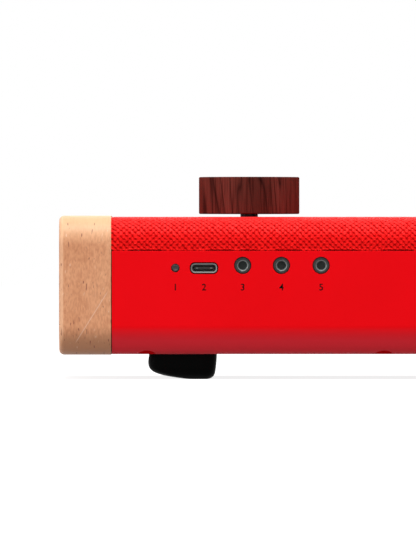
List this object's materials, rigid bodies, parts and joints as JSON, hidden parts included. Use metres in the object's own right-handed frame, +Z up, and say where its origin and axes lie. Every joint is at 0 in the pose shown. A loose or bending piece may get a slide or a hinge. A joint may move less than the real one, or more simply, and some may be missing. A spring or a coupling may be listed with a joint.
{
  "type": "portable keyboard",
  "caption": "Portable musical keyboard: full-size sprung keys between wooden end cheeks, a cloth-covered speaker deck with a rotary knob, and rear sockets.",
  "frame": {"origin": "on the ground, under the middle of the case, at the bottom centre of the bounding box", "axes": "+X towards the player's right along the keys, +Y towards the rear face with its sockets, +Z up"},
  "size_m": [0.5544, 0.22, 0.0691],
  "materials": {
    "red_case": "satin moulded ABS",
    "dark_plastic": "fine moulded grain",
    "grille_cloth": "coarse knobbly weave",
    "beech": "oiled, fine grain",
    "rubber": "matt moulded",
    "speaker": "matt black",
    "grey_plastic": "moulded",
    "circuit_board": "solder mask",
    "socket": "moulded",
    "steel": "plated",
    "light_lens": "clear grey",
    "battery": "shrink wrap",
    "zinc": "die cast",
    "rosewood": "turned, satin oil",
    "black_shaft": "black satin",
    "white_key": "semi-gloss",
    "black_key": "satin"
  },
  "bodies": {
    "case": {"lower_casing": "red_case", "top_deck": "dark_plastic", "grille_cloth": "grille_cloth", "left_cheek": "beech", "right_cheek": "beech", "foot_front_left": "rubber", "foot_front_right": "rubber", "foot_rear_left": "rubber", "foot_rear_right": "rubber", "speaker_left": "speaker", "speaker_right": "speaker", "key_frame": "grey_plastic", "contact_board": "circuit_board", "main_board": "circuit_board", "headphone_jack": "socket", "sustain_jack": "socket", "octave_jack": "socket", "usb_c_port": "steel", "charge_light": "light_lens", "battery": "battery", "rotary_encoder": "zinc"},
    "knob": {"volume_knob": "rosewood", "knob_shaft": "black_shaft"},
    "key_c_3": {"key_c_3": "white_key"},
    "key_c_sharp_3": {"key_c_sharp_3": "black_key"},
    "key_d_3": {"key_d_3": "white_key"},
    "key_d_sharp_3": {"key_d_sharp_3": "black_key"},
    "key_e_3": {"key_e_3": "white_key"},
    "key_f_3": {"key_f_3": "white_key"},
    "key_f_sharp_3": {"key_f_sharp_3": "black_key"},
    "key_g_3": {"key_g_3": "white_key"},
    "key_g_sharp_3": {"key_g_sharp_3": "black_key"},
    "key_a_3": {"key_a_3": "white_key"},
    "key_a_sharp_3": {"key_a_sharp_3": "black_key"},
    "key_b_3": {"key_b_3": "white_key"},
    "key_c_4": {"key_c_4": "white_key"},
    "key_c_sharp_4": {"key_c_sharp_4": "black_key"},
    "key_d_4": {"key_d_4": "white_key"},
    "key_d_sharp_4": {"key_d_sharp_4": "black_key"},
    "key_e_4": {"key_e_4": "white_key"},
    "key_f_4": {"key_f_4": "white_key"},
    "key_f_sharp_4": {"key_f_sharp_4": "black_key"},
    "key_g_4": {"key_g_4": "white_key"},
    "key_g_sharp_4": {"key_g_sharp_4": "black_key"},
    "key_a_4": {"key_a_4": "white_key"},
    "key_a_sharp_4": {"key_a_sharp_4": "black_key"},
    "key_b_4": {"key_b_4": "white_key"},
    "key_c_5": {"key_c_5": "white_key"},
    "key_c_sharp_5": {"key_c_sharp_5": "black_key"},
    "key_d_5": {"key_d_5": "white_key"},
    "key_d_sharp_5": {"key_d_sharp_5": "black_key"},
    "key_e_5": {"key_e_5": "white_key"},
    "key_f_5": {"key_f_5": "white_key"},
    "key_f_sharp_5": {"key_f_sharp_5": "black_key"},
    "key_g_5": {"key_g_5": "white_key"},
    "key_g_sharp_5": {"key_g_sharp_5": "black_key"},
    "key_a_5": {"key_a_5": "white_key"},
    "key_a_sharp_5": {"key_a_sharp_5": "black_key"},
    "key_b_5": {"key_b_5": "white_key"},
    "key_c_6": {"key_c_6": "white_key"}
  },
  "joints": [
    {"name": "knob_turn", "type": "hinge", "parent": "case", "child": "knob", "pos_m": [0.2124, 0.074, 0.05645], "axis": [0, 0, 1], "continuous": true},
    {"name": "key_c_3_press", "type": "hinge", "parent": "case", "child": "key_c_3", "pos_m": [-0.24675, 0.06, 0.03], "axis": [1, 0, 0], "range_deg": [0, 3.1], "stiffness_Nm_per_rad": 0.55, "springref_deg": -10.31},
    {"name": "key_c_sharp_3_press", "type": "hinge", "parent": "case", "child": "key_c_sharp_3", "pos_m": [-0.23728, 0.06, 0.03], "axis": [1, 0, 0], "range_deg": [0, 3.1], "stiffness_Nm_per_rad": 0.55, "springref_deg": -10.31},
    {"name": "key_d_3_press", "type": "hinge", "parent": "case", "child": "key_d_3", "pos_m": [-0.22325, 0.06, 0.03], "axis": [1, 0, 0], "range_deg": [0, 3.1], "stiffness_Nm_per_rad": 0.55, "springref_deg": -10.31},
    {"name": "key_d_sharp_3_press", "type": "hinge", "parent": "case", "child": "key_d_sharp_3", "pos_m": [-0.20922, 0.06, 0.03], "axis": [1, 0, 0], "range_deg": [0, 3.1], "stiffness_Nm_per_rad": 0.55, "springref_deg": -10.31},
    {"name": "key_e_3_press", "type": "hinge", "parent": "case", "child": "key_e_3", "pos_m": [-0.19975, 0.06, 0.03], "axis": [1, 0, 0], "range_deg": [0, 3.1], "stiffness_Nm_per_rad": 0.55, "springref_deg": -10.31},
    {"name": "key_f_3_press", "type": "hinge", "parent": "case", "child": "key_f_3", "pos_m": [-0.17625, 0.06, 0.03], "axis": [1, 0, 0], "range_deg": [0, 3.1], "stiffness_Nm_per_rad": 0.55, "springref_deg": -10.31},
    {"name": "key_f_sharp_3_press", "type": "hinge", "parent": "case", "child": "key_f_sharp_3", "pos_m": [-0.16792, 0.06, 0.03], "axis": [1, 0, 0], "range_deg": [0, 3.1], "stiffness_Nm_per_rad": 0.55, "springref_deg": -10.31},
    {"name": "key_g_3_press", "type": "hinge", "parent": "case", "child": "key_g_3", "pos_m": [-0.15275, 0.06, 0.03], "axis": [1, 0, 0], "range_deg": [0, 3.1], "stiffness_Nm_per_rad": 0.55, "springref_deg": -10.31},
    {"name": "key_g_sharp_3_press", "type": "hinge", "parent": "case", "child": "key_g_sharp_3", "pos_m": [-0.141, 0.06, 0.03], "axis": [1, 0, 0], "range_deg": [0, 3.1], "stiffness_Nm_per_rad": 0.55, "springref_deg": -10.31},
    {"name": "key_a_3_press", "type": "hinge", "parent": "case", "child": "key_a_3", "pos_m": [-0.12925, 0.06, 0.03], "axis": [1, 0, 0], "range_deg": [0, 3.1], "stiffness_Nm_per_rad": 0.55, "springref_deg": -10.31},
    {"name": "key_a_sharp_3_press", "type": "hinge", "parent": "case", "child": "key_a_sharp_3", "pos_m": [-0.11407, 0.06, 0.03], "axis": [1, 0, 0], "range_deg": [0, 3.1], "stiffness_Nm_per_rad": 0.55, "springref_deg": -10.31},
    {"name": "key_b_3_press", "type": "hinge", "parent": "case", "child": "key_b_3", "pos_m": [-0.10575, 0.06, 0.03], "axis": [1, 0, 0], "range_deg": [0, 3.1], "stiffness_Nm_per_rad": 0.55, "springref_deg": -10.31},
    {"name": "key_c_4_press", "type": "hinge", "parent": "case", "child": "key_c_4", "pos_m": [-0.08225, 0.06, 0.03], "axis": [1, 0, 0], "range_deg": [0, 3.1], "stiffness_Nm_per_rad": 0.55, "springref_deg": -10.31},
    {"name": "key_c_sharp_4_press", "type": "hinge", "parent": "case", "child": "key_c_sharp_4", "pos_m": [-0.07278, 0.06, 0.03], "axis": [1, 0, 0], "range_deg": [0, 3.1], "stiffness_Nm_per_rad": 0.55, "springref_deg": -10.31},
    {"name": "key_d_4_press", "type": "hinge", "parent": "case", "child": "key_d_4", "pos_m": [-0.05875, 0.06, 0.03], "axis": [1, 0, 0], "range_deg": [0, 3.1], "stiffness_Nm_per_rad": 0.55, "springref_deg": -10.31},
    {"name": "key_d_sharp_4_press", "type": "hinge", "parent": "case", "child": "key_d_sharp_4", "pos_m": [-0.04472, 0.06, 0.03], "axis": [1, 0, 0], "range_deg": [0, 3.1], "stiffness_Nm_per_rad": 0.55, "springref_deg": -10.31},
    {"name": "key_e_4_press", "type": "hinge", "parent": "case", "child": "key_e_4", "pos_m": [-0.03525, 0.06, 0.03], "axis": [1, 0, 0], "range_deg": [0, 3.1], "stiffness_Nm_per_rad": 0.55, "springref_deg": -10.31},
    {"name": "key_f_4_press", "type": "hinge", "parent": "case", "child": "key_f_4", "pos_m": [-0.01175, 0.06, 0.03], "axis": [1, 0, 0], "range_deg": [0, 3.1], "stiffness_Nm_per_rad": 0.55, "springref_deg": -10.31},
    {"name": "key_f_sharp_4_press", "type": "hinge", "parent": "case", "child": "key_f_sharp_4", "pos_m": [-0.00343, 0.06, 0.03], "axis": [1, 0, 0], "range_deg": [0, 3.1], "stiffness_Nm_per_rad": 0.55, "springref_deg": -10.31},
    {"name": "key_g_4_press", "type": "hinge", "parent": "case", "child": "key_g_4", "pos_m": [0.01175, 0.06, 0.03], "axis": [1, 0, 0], "range_deg": [0, 3.1], "stiffness_Nm_per_rad": 0.55, "springref_deg": -10.31},
    {"name": "key_g_sharp_4_press", "type": "hinge", "parent": "case", "child": "key_g_sharp_4", "pos_m": [0.0235, 0.06, 0.03], "axis": [1, 0, 0], "range_deg": [0, 3.1], "stiffness_Nm_per_rad": 0.55, "springref_deg": -10.31},
    {"name": "key_a_4_press", "type": "hinge", "parent": "case", "child": "key_a_4", "pos_m": [0.03525, 0.06, 0.03], "axis": [1, 0, 0], "range_deg": [0, 3.1], "stiffness_Nm_per_rad": 0.55, "springref_deg": -10.31},
    {"name": "key_a_sharp_4_press", "type": "hinge", "parent": "case", "child": "key_a_sharp_4", "pos_m": [0.05042, 0.06, 0.03], "axis": [1, 0, 0], "range_deg": [0, 3.1], "stiffness_Nm_per_rad": 0.55, "springref_deg": -10.31},
    {"name": "key_b_4_press", "type": "hinge", "parent": "case", "child": "key_b_4", "pos_m": [0.05875, 0.06, 0.03], "axis": [1, 0, 0], "range_deg": [0, 3.1], "stiffness_Nm_per_rad": 0.55, "springref_deg": -10.31},
    {"name": "key_c_5_press", "type": "hinge", "parent": "case", "child": "key_c_5", "pos_m": [0.08225, 0.06, 0.03], "axis": [1, 0, 0], "range_deg": [0, 3.1], "stiffness_Nm_per_rad": 0.55, "springref_deg": -10.31},
    {"name": "key_c_sharp_5_press", "type": "hinge", "parent": "case", "child": "key_c_sharp_5", "pos_m": [0.09172, 0.06, 0.03], "axis": [1, 0, 0], "range_deg": [0, 3.1], "stiffness_Nm_per_rad": 0.55, "springref_deg": -10.31},
    {"name": "key_d_5_press", "type": "hinge", "parent": "case", "child": "key_d_5", "pos_m": [0.10575, 0.06, 0.03], "axis": [1, 0, 0], "range_deg": [0, 3.1], "stiffness_Nm_per_rad": 0.55, "springref_deg": -10.31},
    {"name": "key_d_sharp_5_press", "type": "hinge", "parent": "case", "child": "key_d_sharp_5", "pos_m": [0.11978, 0.06, 0.03], "axis": [1, 0, 0], "range_deg": [0, 3.1], "stiffness_Nm_per_rad": 0.55, "springref_deg": -10.31},
    {"name": "key_e_5_press", "type": "hinge", "parent": "case", "child": "key_e_5", "pos_m": [0.12925, 0.06, 0.03], "axis": [1, 0, 0], "range_deg": [0, 3.1], "stiffness_Nm_per_rad": 0.55, "springref_deg": -10.31},
    {"name": "key_f_5_press", "type": "hinge", "parent": "case", "child": "key_f_5", "pos_m": [0.15275, 0.06, 0.03], "axis": [1, 0, 0], "range_deg": [0, 3.1], "stiffness_Nm_per_rad": 0.55, "springref_deg": -10.31},
    {"name": "key_f_sharp_5_press", "type": "hinge", "parent": "case", "child": "key_f_sharp_5", "pos_m": [0.16107, 0.06, 0.03], "axis": [1, 0, 0], "range_deg": [0, 3.1], "stiffness_Nm_per_rad": 0.55, "springref_deg": -10.31},
    {"name": "key_g_5_press", "type": "hinge", "parent": "case", "child": "key_g_5", "pos_m": [0.17625, 0.06, 0.03], "axis": [1, 0, 0], "range_deg": [0, 3.1], "stiffness_Nm_per_rad": 0.55, "springref_deg": -10.31},
    {"name": "key_g_sharp_5_press", "type": "hinge", "parent": "case", "child": "key_g_sharp_5", "pos_m": [0.188, 0.06, 0.03], "axis": [1, 0, 0], "range_deg": [0, 3.1], "stiffness_Nm_per_rad": 0.55, "springref_deg": -10.31},
    {"name": "key_a_5_press", "type": "hinge", "parent": "case", "child": "key_a_5", "pos_m": [0.19975, 0.06, 0.03], "axis": [1, 0, 0], "range_deg": [0, 3.1], "stiffness_Nm_per_rad": 0.55, "springref_deg": -10.31},
    {"name": "key_a_sharp_5_press", "type": "hinge", "parent": "case", "child": "key_a_sharp_5", "pos_m": [0.21493, 0.06, 0.03], "axis": [1, 0, 0], "range_deg": [0, 3.1], "stiffness_Nm_per_rad": 0.55, "springref_deg": -10.31},
    {"name": "key_b_5_press", "type": "hinge", "parent": "case", "child": "key_b_5", "pos_m": [0.22325, 0.06, 0.03], "axis": [1, 0, 0], "range_deg": [0, 3.1], "stiffness_Nm_per_rad": 0.55, "springref_deg": -10.31},
    {"name": "key_c_6_press", "type": "hinge", "parent": "case", "child": "key_c_6", "pos_m": [0.24675, 0.06, 0.03], "axis": [1, 0, 0], "range_deg": [0, 3.1], "stiffness_Nm_per_rad": 0.55, "springref_deg": -10.31}
  ]
}
